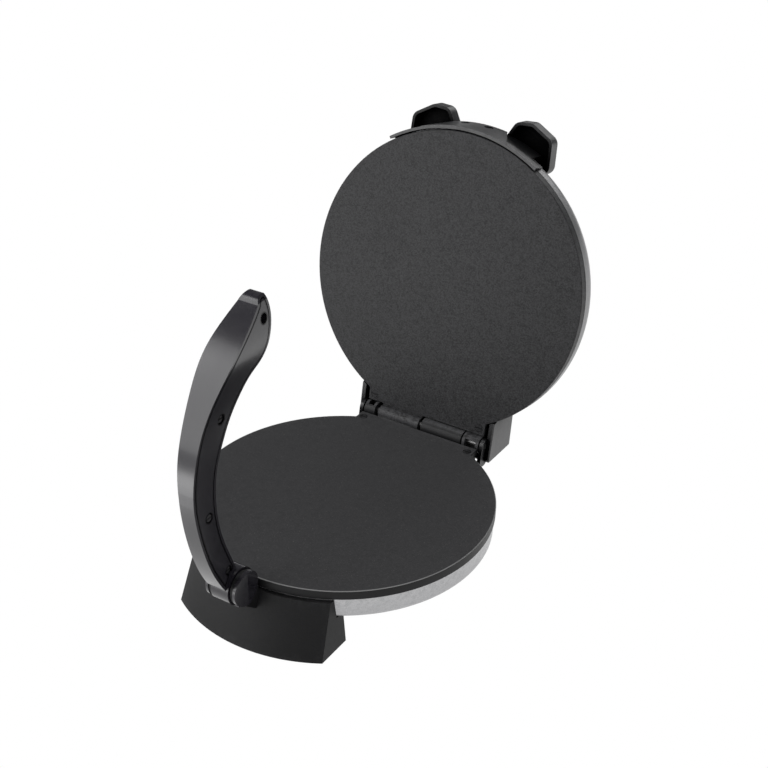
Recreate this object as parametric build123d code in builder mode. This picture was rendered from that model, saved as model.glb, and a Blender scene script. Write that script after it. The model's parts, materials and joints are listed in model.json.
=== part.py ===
from build123d import *
import os
from math import cos, radians, sin, sqrt

# Electric flatbread maker: two hinged heating plates and a pressing lever, in millimetres.
# All pieces are drawn round the plates' centre, with the floor at Z = 0, the lever at the front
# (-Y) and the hinge at the rear (+Y).  The lid rests open on its stop, the lever stands upright.
# Saving moves them so that the origin is on the floor under the middle of the whole machine.

os.makedirs("parts", exist_ok=True)

plate_centre_y = -14.4     # of the saved pieces: half the difference between front and rear reach

# ---------------------------------------------------------------- fits and clearances
running_clearance = 0.05   # radial, turning parts on their pins
seat_clearance = 0.03      # radial, parts pressed or screwed together
shell_clearance = 0.3      # between pieces that are assembled side by side
screw_clearance = 0.2      # radial, a screw through a sheet or a moulding

# ---------------------------------------------------------------- cast plates
plate_radius = 127.0
plate_top = 55.0           # working face of the lower plate above the floor
plate_gap = 1.0            # between the working faces when the lid is shut
plate_web = 5.0
plate_rim_height = 7.8
plate_rim_wall = 3.2
plate_edge_break = 0.5
tab_half_width = 59.5
tab_inner_reach = 30.0     # how far the tab runs in over the disc
hinge_offset = 4.3         # of the hinge's axis behind the plates' edge

# ---------------------------------------------------------------- hinge
hinge_y = plate_radius + hinge_offset
hinge_z = plate_top + plate_gap / 2
lid_opening = 100.0
pin_radius = 2.5
pin_chamfer = 0.4
thick_knuckle = 7.5        # knuckle radii
thin_knuckle = 6.0
knuckle_tab_gap = 0.5
web_recess = 1.4           # the knuckle's web lies this far under the working face
left_end_knuckle = (-58.5, -47.5)
thin_barrel = (-44.5, -3.0)
thick_barrel = (1.0, 41.5)
right_end_knuckle = (43.0, 59.0)
window_wall = 2.6
window_height = 8.0
tab_edge = hinge_y - thick_knuckle - knuckle_tab_gap

# ---------------------------------------------------------------- screws
small_screw_radius = 1.5
small_head_radius = 2.8
small_head_height = 1.8
large_screw_radius = 2.0
large_head_radius = 3.6
large_head_height = 2.4
slot_width = 0.9
slot_depth = 0.9

# ---------------------------------------------------------------- heater, both halves
element_ring_radius = 78.0
element_tube_radius = 3.3
element_opening = 36.0     # angle left open at the rear between the two ends
element_tail = 13.0        # length of the straight ends
element_seat = 0.1         # play of the element against plate and clips
channel_rib_wall = 1.8
channel_rib_height = 3.0
channel_play = 2.0
clip_count = 3
clip_start = 30.0
clip_width = 9.0
clip_thickness = 1.2
clip_screw_spread = 11.0   # from the element's ring to each clip screw
clip_end_margin = 4.0
clip_boss_radius = 3.4
reflector_radius = 97.0
reflector_depth = 17.0     # from the working face
reflector_sheet = 0.8
reflector_lip = 5.0
reflector_tail_hole = 5.2
reflector_post_circle = 55.0
reflector_post_radius = 4.0
reflector_screw_length = 8.0
fuse_radius = 2.1
fuse_length = 14.0
fuse_wire_radius = 0.5
fuse_wire_length = 8.0
fuse_place = 30.0
fuse_seat = 0.2
thermostat_radius = 8.0
thermostat_height = 8.0
thermostat_flange_length = 26.0
thermostat_flange_width = 10.0
thermostat_flange_sheet = 0.8

# ---------------------------------------------------------------- base housing
housing_inset = 1.2        # of the housing's wall inside the plate's edge
housing_radius = plate_radius - housing_inset
housing_height = 18.7
housing_sheet = 1.0
housing_bottom_round = 4.0
housing_flange = 4.0
housing_opening_radius = 58.0
housing_tongue_half = 5.6
housing_top = plate_top - plate_rim_height
housing_bottom = housing_top - housing_height
floor_top = housing_bottom + housing_sheet
tab_screw_x = 53.5
lower_tab_inset = 15.8     # of the screws through the hinge tab, in front of the hinge's axis
lower_tab_screw_y = hinge_y - lower_tab_inset
tab_boss_radius = 4.6
post_inset = 22.0
post_circle = plate_radius - post_inset
post_radius = 4.5
post_screw_length = 14.0
lead_hole_radius = 10.5

cover_radius = 66.0
cover_sheet = 1.2
cover_screw_circle = 61.5
cover_screw_length = 7.0
vent_circle = 38.0
vent_count = 12
vent_length = 20.0
vent_width = 3.0

# ---------------------------------------------------------------- feet
pad_lift = 1.0             # the rubber pads hold the feet this far off the floor
foot_wall = 2.6
foot_seat_gap = 0.1
foot_band_gap = 0.3
foot_skirt_depth = 4.2     # how far the front foot stands out from the housing at its top
foot_skirt_radius = housing_radius + foot_skirt_depth
foot_skirt_gap = 1.5       # between the front foot's top and the plate's rim
foot_top_half_width = 65.0
foot_bottom_half_width = 69.0
foot_bottom_growth = 1.0   # of the lower arc's radius over the upper one's
foot_bottom_radius = foot_skirt_radius + foot_bottom_growth
foot_bottom_shift = 19.0   # the front foot's lower arc is struck this far forward
foot_inner_inset = 27.8    # of the foot's straight inner side, inside the housing's radius
foot_inner_y = housing_radius - foot_inner_inset
foot_boss_x = 45.0
foot_boss_inset = 16.8
foot_boss_y = housing_radius - foot_boss_inset
foot_boss_radius = 7.4
foot_bore_radius = 4.4
foot_bore_depth = 17.0
foot_screw_length = 14.0
nut_width = 6.4
nut_height = 3.0
rear_foot_half_width = 66.0
rear_foot_inset = 3.8
rear_foot_radius = housing_radius - rear_foot_inset
rear_foot_depth = 38.0     # from the middle of its round side to its inner side
rear_foot_inner_y = rear_foot_radius - rear_foot_depth
rear_foot_corner = 5.0
rear_window_inset = 34.0   # the insets behind are measured from the rear foot's round side
rear_window_y = rear_foot_radius - rear_window_inset
rear_window_depth = 27.0
rear_foot_boss_inset = 21.0
rear_foot_boss_y = rear_foot_radius - rear_foot_boss_inset
lead_hole_inset = 28.0
lead_hole_y = rear_foot_radius - lead_hole_inset
pad_radius = 7.2
pad_plug_radius = 4.2
pad_plug_height = 4.0
block_length = 30.0
block_width = 13.0
block_height = 11.0
block_inset = 18.0
block_y = rear_foot_radius - block_inset
block_screw_pitch = 8.5
block_screw_radius = 2.2
block_screw_depth = 4.0
block_window_margin = 5.0
gland_z = 13.0
gland_neck_radius = 5.0
gland_flange_radius = 7.5
gland_flange = 1.6
gland_bore_radius = 3.2
gland_tail = 9.0
gland_tip_radius = 4.4
gland_spotface = 0.6
gland_neck_length = 2.4
gland_lip = 1.2
gland_lip_radius = 5.8
lead_radius = 1.3
lead_bend = 1.6

# ---------------------------------------------------------------- pressing lever
pivot_reach = 21.0         # of the pivot in front of the plates' edge
pivot_y = -plate_radius - pivot_reach
pivot_rise = 6.0           # of the pivot above the working face
pivot_z = plate_top + pivot_rise
pivot_pin_radius = 4.0
bush_wall = 1.8
hub_radius = 15.3
hub_half_width = 8.0
hub_side_gap = 0.6
lug_thickness = 2.8
lug_radius = 13.6
cap_radius = 14.3
cap_edge = 2.2
cap_ridge = 1.8            # how far the cap's ridge stands above its edge
cap_pin_depth = 1.4
cradle_gap = 0.8
stop_tooth_height = 4.6
stop_tooth_length = 4.8
stop_gap = 0.3
stop_face_depth = 3.0      # of the face the stop tooth rests on, behind the pivot
stop_face_y = pivot_y + stop_face_depth
lug_root = (16.0, -25.0)   # where the lugs' webs run into the front foot, from the pivot
lug_root_radius = 5.0
cradle_top = -14.5         # the two heights of the hub's room, from the pivot
cradle_foot = -27.0
lever_front = -43.0        # the foremost reach of the arm, and its rearmost, from the pivot
lever_back = 52.0
lever_draft = 0.0875       # narrowing of the arm per millimetre towards the plates
lever_outer = [            # (y, z) from the pivot, along the front of the arm from hub to tip
    (-16.5, 5.0), (-27.4, 25.5), (-39.5, 65.8), (-43.0, 93.2), (-40.1, 124.5),
    (-30.6, 149.8), (-12.9, 175.6), (7.2, 195.3), (28.6, 211.0), (34.6, 215.5),
]
lever_tip = (41.4, 220.6)
lever_inner = [            # (y, z) from the pivot, along the rear of the arm from hub to tip
    (-1.7, 19.0), (-7.5, 35.0), (-14.0, 55.0), (-17.3, 79.0), (-16.6, 97.0),
    (-13.7, 112.8), (-7.0, 127.5), (2.0, 142.0), (15.0, 157.0), (27.0, 167.0),
    (38.4, 173.2), (44.4, 182.0), (46.5, 191.7), (47.9, 206.2), (45.2, 219.9),
]
leaf_widths = [            # (half width, height over the pivot) of the arm at its foremost reach
    (10.6, 7.0), (8.0, 36.0), (6.9, 64.0), (6.4, 94.0), (7.8, 124.0), (9.8, 150.0),
    (13.2, 170.5), (17.0, 191.0), (16.3, 209.0), (15.0, 216.0),
]
leaf_tip = 225.0
leaf_least_half = 0.8
cover_rim = 2.2            # rim left around the side cover
cover_groove = 0.5
cover_floor_x = 2.2        # the side cover's inner face
core_floor_x = -3.4        # floor of the hollow inside the arm
core_inset = 2.0
cover_hub_radius = 17.0
stop_tooth_half_width = 7.0
lever_screw_places = [     # (y, z) from the pivot, from tip to hub
    (38.8, 204.5), (-8.3, 147.9), (-26.6, 76.4), (-10.3, 20.3),
]
lever_boss_radius = 3.9
lever_screw_bore = 3.6
lever_screw_recess = 1.2   # thickness of the cover under the screws' heads
lever_screw_length = 6.0
stiffener_sheet = 1.5
stiffener_line = [         # (y, z) from the pivot, along the blade's middle
    (-28.6, 47.1), (-36.3, 93.2), (-30.0, 135.0), (-9.4, 168.6), (17.0, 193.4),
]

# ---------------------------------------------------------------- lid shell, hood and ears
dome_overhang = 0.2        # of the dome over the plate's edge
dome_radius = plate_radius + dome_overhang
dome_wall_top = 13.8       # where the upright wall turns into the shoulder
dome_shoulder_radius = 18.0
dome_shoulder_turn = 80.0
dome_sheet = 0.8
dome_flange = 5.0
hood_half_width = 68.0
hood_cheek = 4.5
hood_wall = 2.5
hood_foot_y = -22.3        # the hood's side outline: y from the hinge's axis, z from the face
hood_front_y = -34.3
hood_front_z = 30.0
hood_brow_y = -25.3
hood_brow_z = 37.0
hood_top_y = 7.2
hood_top_z = 39.8
hood_corner_y = 10.2
hood_corner_z = 37.0
hood_rear_y = 15.7
hood_rear_z = 2.5
lug_reach = 12.2
hood_lug_radius = 7.0
hood_lug_gap = 0.7
hood_edge_round = 1.0
stop_rib_half_width = 12.0
stop_rib_bottom = 40.2     # above the floor, with the lid open
stop_rib_height = 5.4
stop_rib_depth = 7.0
lid_stop_gap = 0.3
upper_tab_inset = 14.3
upper_tab_screw_y = hinge_y - upper_tab_inset
hood_boss_radius = 4.6
tab_screw_length = 16.0
lamp_x = 12.0
lamp_inset = 7.3           # of the lamps in front of the hinge's axis
lamp_y = hinge_y - lamp_inset
lens_radius = 3.0
lens_proud = 1.2
lamp_radius = 2.6
lamp_height = 6.0
lamp_z = 35.65             # the roof's inner side at the lamps, from the lid's working face
lens_flange = 0.8
lens_round = 0.9
lead_exit_z = 25.0
lead_exit_radius = 3.5
lead_inset = 19.3
lead_inner_y = hinge_y - lead_inset

band_depth = 3.8           # how far the band's middle stands out from the dome
band_radius = dome_radius + band_depth
band_recess_depth = 2.0
band_recess_radius = dome_radius + band_recess_depth
band_lip_play = 1.3        # between the plate's edge and the band's lip
band_lip_inner = plate_radius + band_lip_play
band_lip_depth = 3.4
band_lip_outer = dome_radius + band_lip_depth
band_wall = 2.4
band_lip_height = 7.0
band_half_angle = 31.5
band_height = 30.5
band_tail_height = 14.0
band_ear_angle = 26.5
boss_bottom_half_width = 39.5
boss_top_half_width = 24.5
deck_thickness = 2.4
deck_width = 19.2
deck_inner_radius = dome_radius - deck_width
ear_top = 41.5
ear_wall = 2.4
ear_corner_round = 8.0
ear_corners = [            # the right ear, y from the band's front; the left one is its mirror image
    (20.5, 12.0), (31.4, -7.2), (46.0, -8.2), (65.2, 2.6), (66.4, 28.0), (57.0, 33.0),
]
band_screw_x = 11.0
band_screw_z = 23.0
band_screw_recess = 3.6
band_screw_length = 17.0
lug_block_half_width = 18.0
lug_block_inset = 9.5
lug_block_front_y = lug_block_inset - plate_radius
lug_block_depth = 9.0
lug_block_top = 27.0


# ---------------------------------------------------------------- planes
turn = radians(lid_opening)


def opened(shut_y, shut_z):
    """Where a point of the shut lid lies when the lid is open."""
    reach = shut_y - hinge_y
    rise = shut_z - hinge_z
    return (hinge_y + reach * cos(turn) + rise * sin(turn), hinge_z - reach * sin(turn) + rise * cos(turn))


# Each half is drawn on its own working face: x across, y to the rear, z away from the other plate.
lid_face = Plane(
    origin=(0, *opened(0, plate_top + plate_gap)), x_dir=(1, 0, 0), z_dir=(0, sin(turn), cos(turn))
)
base_face = Plane(origin=(0, 0, plate_top), x_dir=(-1, 0, 0), z_dir=(0, 0, -1))


def upright(face):
    """The plane through a face's own axis, with x outwards and y along the axis."""
    return Plane(origin=face.origin, x_dir=face.x_dir, z_dir=face.y_dir * -1)


def sideways(face, x, y=0):
    """The plane across a half at x and y, with its own x to the rear and its y away from the face."""
    return Plane(origin=face.origin + face.x_dir * x + face.y_dir * y, x_dir=face.y_dir, z_dir=face.x_dir)


def axis_of(face):
    return Axis(face.origin, face.z_dir)


def save(piece, name):
    """Write a finished piece in the machine's frame."""
    placed = piece.part.moved(Location((0, plate_centre_y, 0)))
    placed.label = name
    export_step(placed, f"parts/{name}.step")


# ---------------------------------------------------------------- screws
def screw(radius, length, head_radius, head_height, slotted=True):
    """One pan-head screw in the open block: the head's underside at the plane, its shank along +z."""
    Cylinder(radius, length, align=(Align.CENTER, Align.CENTER, Align.MIN))
    with Locations((0, 0, -head_height)):
        Cylinder(head_radius, head_height, align=(Align.CENTER, Align.CENTER, Align.MIN))
        if slotted:
            Box(
                2 * head_radius, slot_width, slot_depth,
                align=(Align.CENTER, Align.CENTER, Align.MIN), mode=Mode.SUBTRACT,
            )


def screw_group(plane, places, radius, length, head_radius, head_height):
    """Identical screws with their heads' undersides on one plane."""
    with BuildPart(plane) as group:
        for place in places:
            with Locations(place):
                screw(radius, length, head_radius, head_height)
    return group


# ---------------------------------------------------------------- cast plates
clip_screw_circles = (element_ring_radius - clip_screw_spread, element_ring_radius + clip_screw_spread)
element_depth = plate_web + element_seat + element_tube_radius
clip_depth = element_depth + element_tube_radius + element_seat
channel_half = element_tube_radius + channel_play
pin_axis_depth = -plate_gap / 2


def knuckle(face, span, radius):
    """A knuckle and the web that carries it, in the open block."""
    with BuildSketch(sideways(face, span[0])) as outline:
        with Locations((hinge_y, pin_axis_depth)):
            Circle(radius)
        with Locations((tab_edge - plate_web, web_recess)):
            Rectangle(hinge_y - tab_edge + plate_web, plate_web - web_recess, align=(Align.MIN, Align.MIN))
    extrude(outline.sketch, amount=span[1] - span[0])


def window(face, span):
    """The opening in an end knuckle that shows the hinge pin."""
    with BuildSketch(sideways(face, span[0] + window_wall)) as outline:
        with Locations((hinge_y, pin_axis_depth)):
            Rectangle(window_height, 2 * thick_knuckle, align=(Align.CENTER, Align.MAX))
    extrude(outline.sketch, amount=span[1] - span[0] - 2 * window_wall, mode=Mode.SUBTRACT)


def behind_tab():
    """The half-plane behind the hinge tab's straight edge, cut from the open sketch."""
    with Locations((0, tab_edge)):
        Rectangle(2 * plate_radius, plate_radius, align=(Align.CENTER, Align.MIN), mode=Mode.SUBTRACT)


def clip_screw_places():
    """Where the element clips are screwed down, as plane coordinates."""
    angles = [radians(clip_start + index * 360 / clip_count) for index in range(clip_count)]
    return [(ring * cos(angle), ring * sin(angle)) for angle in angles for ring in clip_screw_circles]


def cast_plate(face, knuckles, end_span, bore_clearance, tab_screw_y, foot_depth):
    """A cast heating plate: disc, rim, hinge tab, knuckles, and the bosses and ribs on its back."""
    tab_screws = [(-tab_screw_x, tab_screw_y), (tab_screw_x, tab_screw_y)]
    with BuildPart() as plate:
        with BuildSketch(face):
            Circle(plate_radius)
            with Locations((0, tab_edge)):
                Rectangle(2 * tab_half_width, tab_inner_reach, align=(Align.CENTER, Align.MAX))
            behind_tab()
        extrude(amount=plate_web)
        chamfer(plate.faces().sort_by(axis_of(face))[0].outer_wire().edges(), plate_edge_break)
        with BuildSketch(face.offset(plate_web)):
            Circle(plate_radius)
            Circle(plate_radius - plate_rim_wall, mode=Mode.SUBTRACT)
            behind_tab()
        extrude(amount=plate_rim_height - plate_web)
        for rib_radius in (element_ring_radius - channel_half, element_ring_radius + channel_half):
            with BuildSketch(face.offset(plate_web)):
                Circle(rib_radius + channel_rib_wall / 2)
                Circle(rib_radius - channel_rib_wall / 2, mode=Mode.SUBTRACT)
            extrude(amount=channel_rib_height)
        with BuildSketch(face.offset(plate_web)):
            with Locations(*clip_screw_places()):
                Circle(clip_boss_radius)
        extrude(amount=clip_depth - plate_web)
        with BuildSketch(face.offset(plate_web)):
            with PolarLocations(reflector_post_circle, 4, 45):
                Circle(reflector_post_radius)
        extrude(amount=reflector_depth - plate_web)
        with BuildSketch(face.offset(plate_web)):
            with Locations(*tab_screws):
                Circle(tab_boss_radius)
        extrude(amount=plate_rim_height - plate_web)
        if foot_depth > plate_web:
            with BuildSketch(face.offset(plate_web)):
                with PolarLocations(post_circle, 4, 45):
                    Circle(post_radius)
            extrude(amount=foot_depth - plate_web)
            with BuildSketch(face.offset(foot_depth)):
                with PolarLocations(post_circle, 4, 45):
                    Circle(large_screw_radius + seat_clearance)
            extrude(amount=-post_screw_length, mode=Mode.SUBTRACT)
        for span, radius in knuckles:
            knuckle(face, span, radius)
        window(face, end_span)
        with BuildSketch(sideways(face, -plate_radius)):
            with Locations((hinge_y, pin_axis_depth)):
                Circle(pin_radius + bore_clearance)
        extrude(amount=2 * plate_radius, mode=Mode.SUBTRACT)
        with BuildSketch(face.offset(clip_depth)):
            with Locations(*clip_screw_places()):
                Circle(small_screw_radius + seat_clearance)
        extrude(amount=plate_web - clip_depth, mode=Mode.SUBTRACT)
        with BuildSketch(face.offset(reflector_depth)):
            with PolarLocations(reflector_post_circle, 4, 45):
                Circle(small_screw_radius + seat_clearance)
        extrude(amount=-reflector_screw_length, mode=Mode.SUBTRACT)
        with BuildSketch(face):
            with Locations(*tab_screws):
                Circle(large_screw_radius + seat_clearance)
        extrude(amount=plate_rim_height, mode=Mode.SUBTRACT)
        with BuildSketch(face):
            with Locations(*tab_screws):
                Circle(large_head_radius + screw_clearance)
        extrude(amount=large_head_height, mode=Mode.SUBTRACT)
    return plate


def mirrored(span):
    """A span along X as the lower half sees it, whose own x runs the other way."""
    return (-span[1], -span[0])


# ---------------------------------------------------------------- heater pieces of either half
def tail_places(depth):
    """The ends of the element's open ring, in the face's own coordinates."""
    half_opening = element_opening / 2
    angles = (radians(90 - half_opening), radians(90 + half_opening))
    return [(element_ring_radius * cos(angle), element_ring_radius * sin(angle), depth) for angle in angles]


def element_blank():
    """A tubular element bent to an open ring in the level plane, its straight ends turned up."""
    start = radians(90 + element_opening / 2)
    outward = Vector(cos(start), sin(start))
    with BuildPart() as blank:
        with BuildSketch(Plane(origin=(0, 0, 0), x_dir=outward, z_dir=outward.cross(Vector(0, 0, 1)))):
            with Locations((element_ring_radius, element_depth)):
                Circle(element_tube_radius)
        revolve(axis=Axis.Z, revolution_arc=360 - element_opening)
        with Locations(*tail_places(element_depth)):
            Sphere(element_tube_radius)
            Cylinder(element_tube_radius, element_tail, align=(Align.CENTER, Align.CENTER, Align.MIN))
    return blank


def heating_element(face):
    """The element behind one cast plate."""
    with BuildPart() as element:
        with Locations(face):
            add(element_blank().part)
    return element


def element_clips(face):
    """Three flat bars that press the element into its channel."""
    clip_length = 2 * (clip_screw_spread + clip_end_margin)
    with BuildPart() as clips:
        with BuildSketch(face.offset(clip_depth)):
            with PolarLocations(element_ring_radius, clip_count, clip_start):
                SlotOverall(clip_length, clip_width)
            with Locations(*clip_screw_places()):
                Circle(small_screw_radius + screw_clearance, mode=Mode.SUBTRACT)
        extrude(amount=clip_thickness)
    return clips


def reflector(face):
    """A bright sheet pan behind the element, held on the cast plate's four short posts."""
    with BuildPart() as pan:
        with BuildSketch(face.offset(reflector_depth)):
            Circle(reflector_radius)
            with PolarLocations(reflector_post_circle, 4, 45):
                Circle(small_screw_radius + screw_clearance, mode=Mode.SUBTRACT)
            with Locations(*[(x, y) for x, y, depth in tail_places(0)]):
                Circle(reflector_tail_hole, mode=Mode.SUBTRACT)
        extrude(amount=reflector_sheet)
        with BuildSketch(face.offset(reflector_depth)):
            Circle(reflector_radius)
            Circle(reflector_radius - reflector_sheet, mode=Mode.SUBTRACT)
        extrude(amount=-reflector_lip)
    return pan


def thermal_fuse(face):
    """An axial thermal fuse lying on the back of the cast plate."""
    with BuildPart(face) as fuse:
        with Locations((0, fuse_place, plate_web + fuse_seat + fuse_radius)):
            Cylinder(fuse_radius, fuse_length, rotation=(0, 90, 0))
            Cylinder(fuse_wire_radius, fuse_length + 2 * fuse_wire_length, rotation=(0, 90, 0))
    return fuse


def facing_back(face, depth):
    """A plane at a depth behind the face whose z runs back towards it, with x kept and y turned over."""
    return Plane(origin=face.offset(depth).origin, x_dir=face.x_dir, z_dir=face.z_dir * -1)


def facing_down(height):
    """A level plane whose z runs down, with x kept and y turned over."""
    return Plane(origin=(0, 0, height), x_dir=(1, 0, 0), z_dir=(0, 0, -1))


def clip_screws(face):
    """The screws of the element clips, heads away from the plate."""
    length = clip_thickness + clip_depth - plate_web - screw_clearance
    places = [(x, -y) for x, y in clip_screw_places()]
    seat = facing_back(face, clip_depth + clip_thickness)
    return screw_group(seat, places, small_screw_radius, length, small_head_radius, small_head_height)


def reflector_screws(face):
    """The four screws that hold the reflector on its posts."""
    reach = reflector_post_circle * sqrt(0.5)
    places = [(x, y) for x in (-reach, reach) for y in (-reach, reach)]
    length = reflector_screw_length + reflector_sheet - screw_clearance
    seat = facing_back(face, reflector_depth + reflector_sheet)
    return screw_group(seat, places, small_screw_radius, length, small_head_radius, small_head_height)


def heater(face, half):
    """Build and save what lies behind one cast plate."""
    save(heating_element(face), f"{half}_heating_element")
    save(element_clips(face), f"{half}_element_clips")
    save(clip_screws(face), f"{half}_clip_screws")
    save(reflector(face), f"{half}_reflector")
    save(reflector_screws(face), f"{half}_reflector_screws")
    save(thermal_fuse(face), f"{half}_thermal_fuse")


# ---------------------------------------------------------------- base: plate and heater
lower_knuckles = ((mirrored(left_end_knuckle), thick_knuckle), (mirrored(thick_barrel), thick_knuckle))
post_depth = plate_top - floor_top
lower_plate = cast_plate(
    base_face, lower_knuckles, mirrored(left_end_knuckle), seat_clearance, lower_tab_screw_y, post_depth
)
save(lower_plate, "lower_plate")
heater(base_face, "lower")

with BuildPart(base_face.offset(plate_web)) as thermostat:
    Box(
        thermostat_flange_length, thermostat_flange_width, thermostat_flange_sheet,
        align=(Align.CENTER, Align.CENTER, Align.MIN),
    )
    Cylinder(thermostat_radius, thermostat_height, align=(Align.CENTER, Align.CENTER, Align.MIN))
save(thermostat, "thermostat")


# ---------------------------------------------------------------- base: housing and bottom cover
foot_screw_places = [
    (side * foot_boss_x, y) for side in (-1, 1) for y in (-foot_boss_y, rear_foot_boss_y)
]
cover_screw_start = 30.0

with BuildPart() as base_housing:
    with BuildSketch(Plane.XZ):
        with BuildLine():
            round_centre = (housing_radius - housing_bottom_round, housing_bottom + housing_bottom_round)
            Line((housing_opening_radius, housing_bottom), (round_centre[0], housing_bottom))
            CenterArc(round_centre, housing_bottom_round, -90, 90)
            Polyline(
                (housing_radius, round_centre[1]),
                (housing_radius, housing_top),
                (housing_radius - housing_flange, housing_top),
                (housing_radius - housing_flange, housing_top - housing_sheet),
                (housing_radius - housing_sheet, housing_top - housing_sheet),
                (housing_radius - housing_sheet, round_centre[1]),
            )
            CenterArc(round_centre, housing_bottom_round - housing_sheet, 0, -90)
            Polyline(
                (round_centre[0], floor_top),
                (housing_opening_radius, floor_top),
                (housing_opening_radius, housing_bottom),
            )
        make_face()
    revolve(axis=Axis.Z)
    with BuildSketch(Plane.XY.offset(housing_top - housing_sheet)):
        with Locations((-tab_screw_x, lower_tab_screw_y), (tab_screw_x, lower_tab_screw_y)):
            Rectangle(2 * housing_tongue_half, 2 * housing_tongue_half)
    extrude(amount=housing_sheet)
    with BuildSketch(Plane.XY.offset(housing_top)):
        with Locations((-tab_screw_x, lower_tab_screw_y), (tab_screw_x, lower_tab_screw_y)):
            Circle(large_screw_radius + seat_clearance)
    extrude(amount=-housing_sheet, mode=Mode.SUBTRACT)
    with BuildSketch(Plane.XY.offset(housing_bottom)):
        with PolarLocations(post_circle, 4, 45):
            Circle(large_screw_radius + screw_clearance)
        with Locations(*foot_screw_places):
            Circle(large_screw_radius + screw_clearance)
        with PolarLocations(cover_screw_circle, 3, cover_screw_start):
            Circle(small_screw_radius + seat_clearance)
        with Locations((0, lead_hole_y)):
            Circle(lead_hole_radius)
    extrude(amount=housing_sheet, mode=Mode.SUBTRACT)
save(base_housing, "base_housing")

with BuildPart() as bottom_cover:
    with BuildSketch(Plane.XY.offset(housing_bottom)):
        Circle(cover_radius)
        with PolarLocations(vent_circle, vent_count):
            SlotOverall(vent_length, vent_width, mode=Mode.SUBTRACT)
        with PolarLocations(cover_screw_circle, 3, cover_screw_start):
            Circle(small_screw_radius + screw_clearance, mode=Mode.SUBTRACT)
    extrude(amount=-cover_sheet)
    fillet(bottom_cover.faces().sort_by(Axis.Z)[0].outer_wire().edges(), cover_sheet / 2)
save(bottom_cover, "bottom_cover")

cover_screw_places = [
    (cover_screw_circle * cos(radians(angle)), cover_screw_circle * sin(radians(angle)))
    for angle in (cover_screw_start, cover_screw_start + 120, cover_screw_start + 240)
]
cover_screws = screw_group(
    Plane.XY.offset(housing_bottom - cover_sheet), cover_screw_places,
    small_screw_radius, cover_screw_length, small_head_radius, small_head_height,
)
save(cover_screws, "cover_screws")

post_reach = post_circle * sqrt(0.5)
post_screws = screw_group(
    Plane.XY.offset(housing_bottom),
    [(x, y) for x in (-post_reach, post_reach) for y in (-post_reach, post_reach)],
    large_screw_radius, post_screw_length, large_head_radius, large_head_height,
)
save(post_screws, "plate_post_screws")

lower_tab_screw_length = plate_rim_height + housing_sheet - large_head_height
lower_tab_screws = screw_group(
    facing_down(plate_top - large_head_height),
    [(-tab_screw_x, -lower_tab_screw_y), (tab_screw_x, -lower_tab_screw_y)],
    large_screw_radius, lower_tab_screw_length, large_head_radius, large_head_height,
)
save(lower_tab_screws, "lower_tab_screws")


# ---------------------------------------------------------------- base: feet, pads and what holds them
foot_bottom = pad_lift
foot_top = housing_bottom - foot_seat_gap
foot_roof = foot_top - foot_wall
skirt_top = plate_top - plate_rim_height - foot_skirt_gap
foot_screw_seat = foot_bottom + foot_bore_depth
lug_inner_x = hub_half_width + hub_side_gap
lug_outer_x = lug_inner_x + lug_thickness


def front_outline(inset, half_width, radius, centre_y):
    """The front foot's outline at one height: a round front, straight ends and inner edge."""
    reach = half_width - inset
    arc_radius = radius - inset
    side_y = centre_y - sqrt(arc_radius ** 2 - reach ** 2)
    with BuildLine() as outline:
        ThreePointArc((-reach, side_y), (0, centre_y - arc_radius), (reach, side_y))
        Polyline(
            (reach, side_y), (reach, -foot_inner_y - inset), (-reach, -foot_inner_y - inset), (-reach, side_y)
        )
    make_face(outline.edges())


def front_foot_body(inset):
    """The leaning block of the front foot, inset all round by a wall."""
    with BuildPart() as body:
        with BuildSketch(Plane.XY.offset(foot_bottom)):
            front_outline(inset, foot_bottom_half_width, foot_bottom_radius, -foot_bottom_shift)
        with BuildSketch(Plane.XY.offset(skirt_top)):
            front_outline(inset, foot_top_half_width, foot_skirt_radius, 0)
        loft()
    return body


def foot_bores(y):
    """The bosses' counterbores for screw heads and pads, cut from the open block."""
    with Locations((-foot_boss_x, y, foot_bottom), (foot_boss_x, y, foot_bottom)):
        Cylinder(
            foot_bore_radius, foot_bore_depth,
            align=(Align.CENTER, Align.CENTER, Align.MIN), mode=Mode.SUBTRACT,
        )
        Cylinder(
            large_screw_radius + screw_clearance, foot_top,
            align=(Align.CENTER, Align.CENTER, Align.MIN), mode=Mode.SUBTRACT,
        )


def foot_bosses(y):
    """Two round bosses from the foot's underside to its roof, in the open block."""
    with Locations((-foot_boss_x, y, foot_bottom), (foot_boss_x, y, foot_bottom)):
        Cylinder(foot_boss_radius, foot_roof - foot_bottom, align=(Align.CENTER, Align.CENTER, Align.MIN))


def side_plane(x):
    """An upright plane across the machine at x: own x to the rear, own y up."""
    return Plane(origin=(x, 0, 0), x_dir=(0, 1, 0), z_dir=(1, 0, 0))


def hub_room():
    """The room the lever's hub and stop tooth need between the two lugs."""
    with BuildPart() as room:
        with BuildSketch(side_plane(-lug_inner_x)):
            with Locations((pivot_y, pivot_z)):
                Circle(hub_radius + cradle_gap)
            with Locations((stop_face_y, pivot_z)):
                Rectangle(2 * lug_radius, -cradle_foot, align=(Align.MAX, Align.MAX))
            with Locations((pivot_y, pivot_z + cradle_top)):
                Rectangle(2 * lug_radius, 2 * hub_radius, align=(Align.MIN, Align.MIN))
        extrude(amount=2 * lug_inner_x)
    return room


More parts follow.
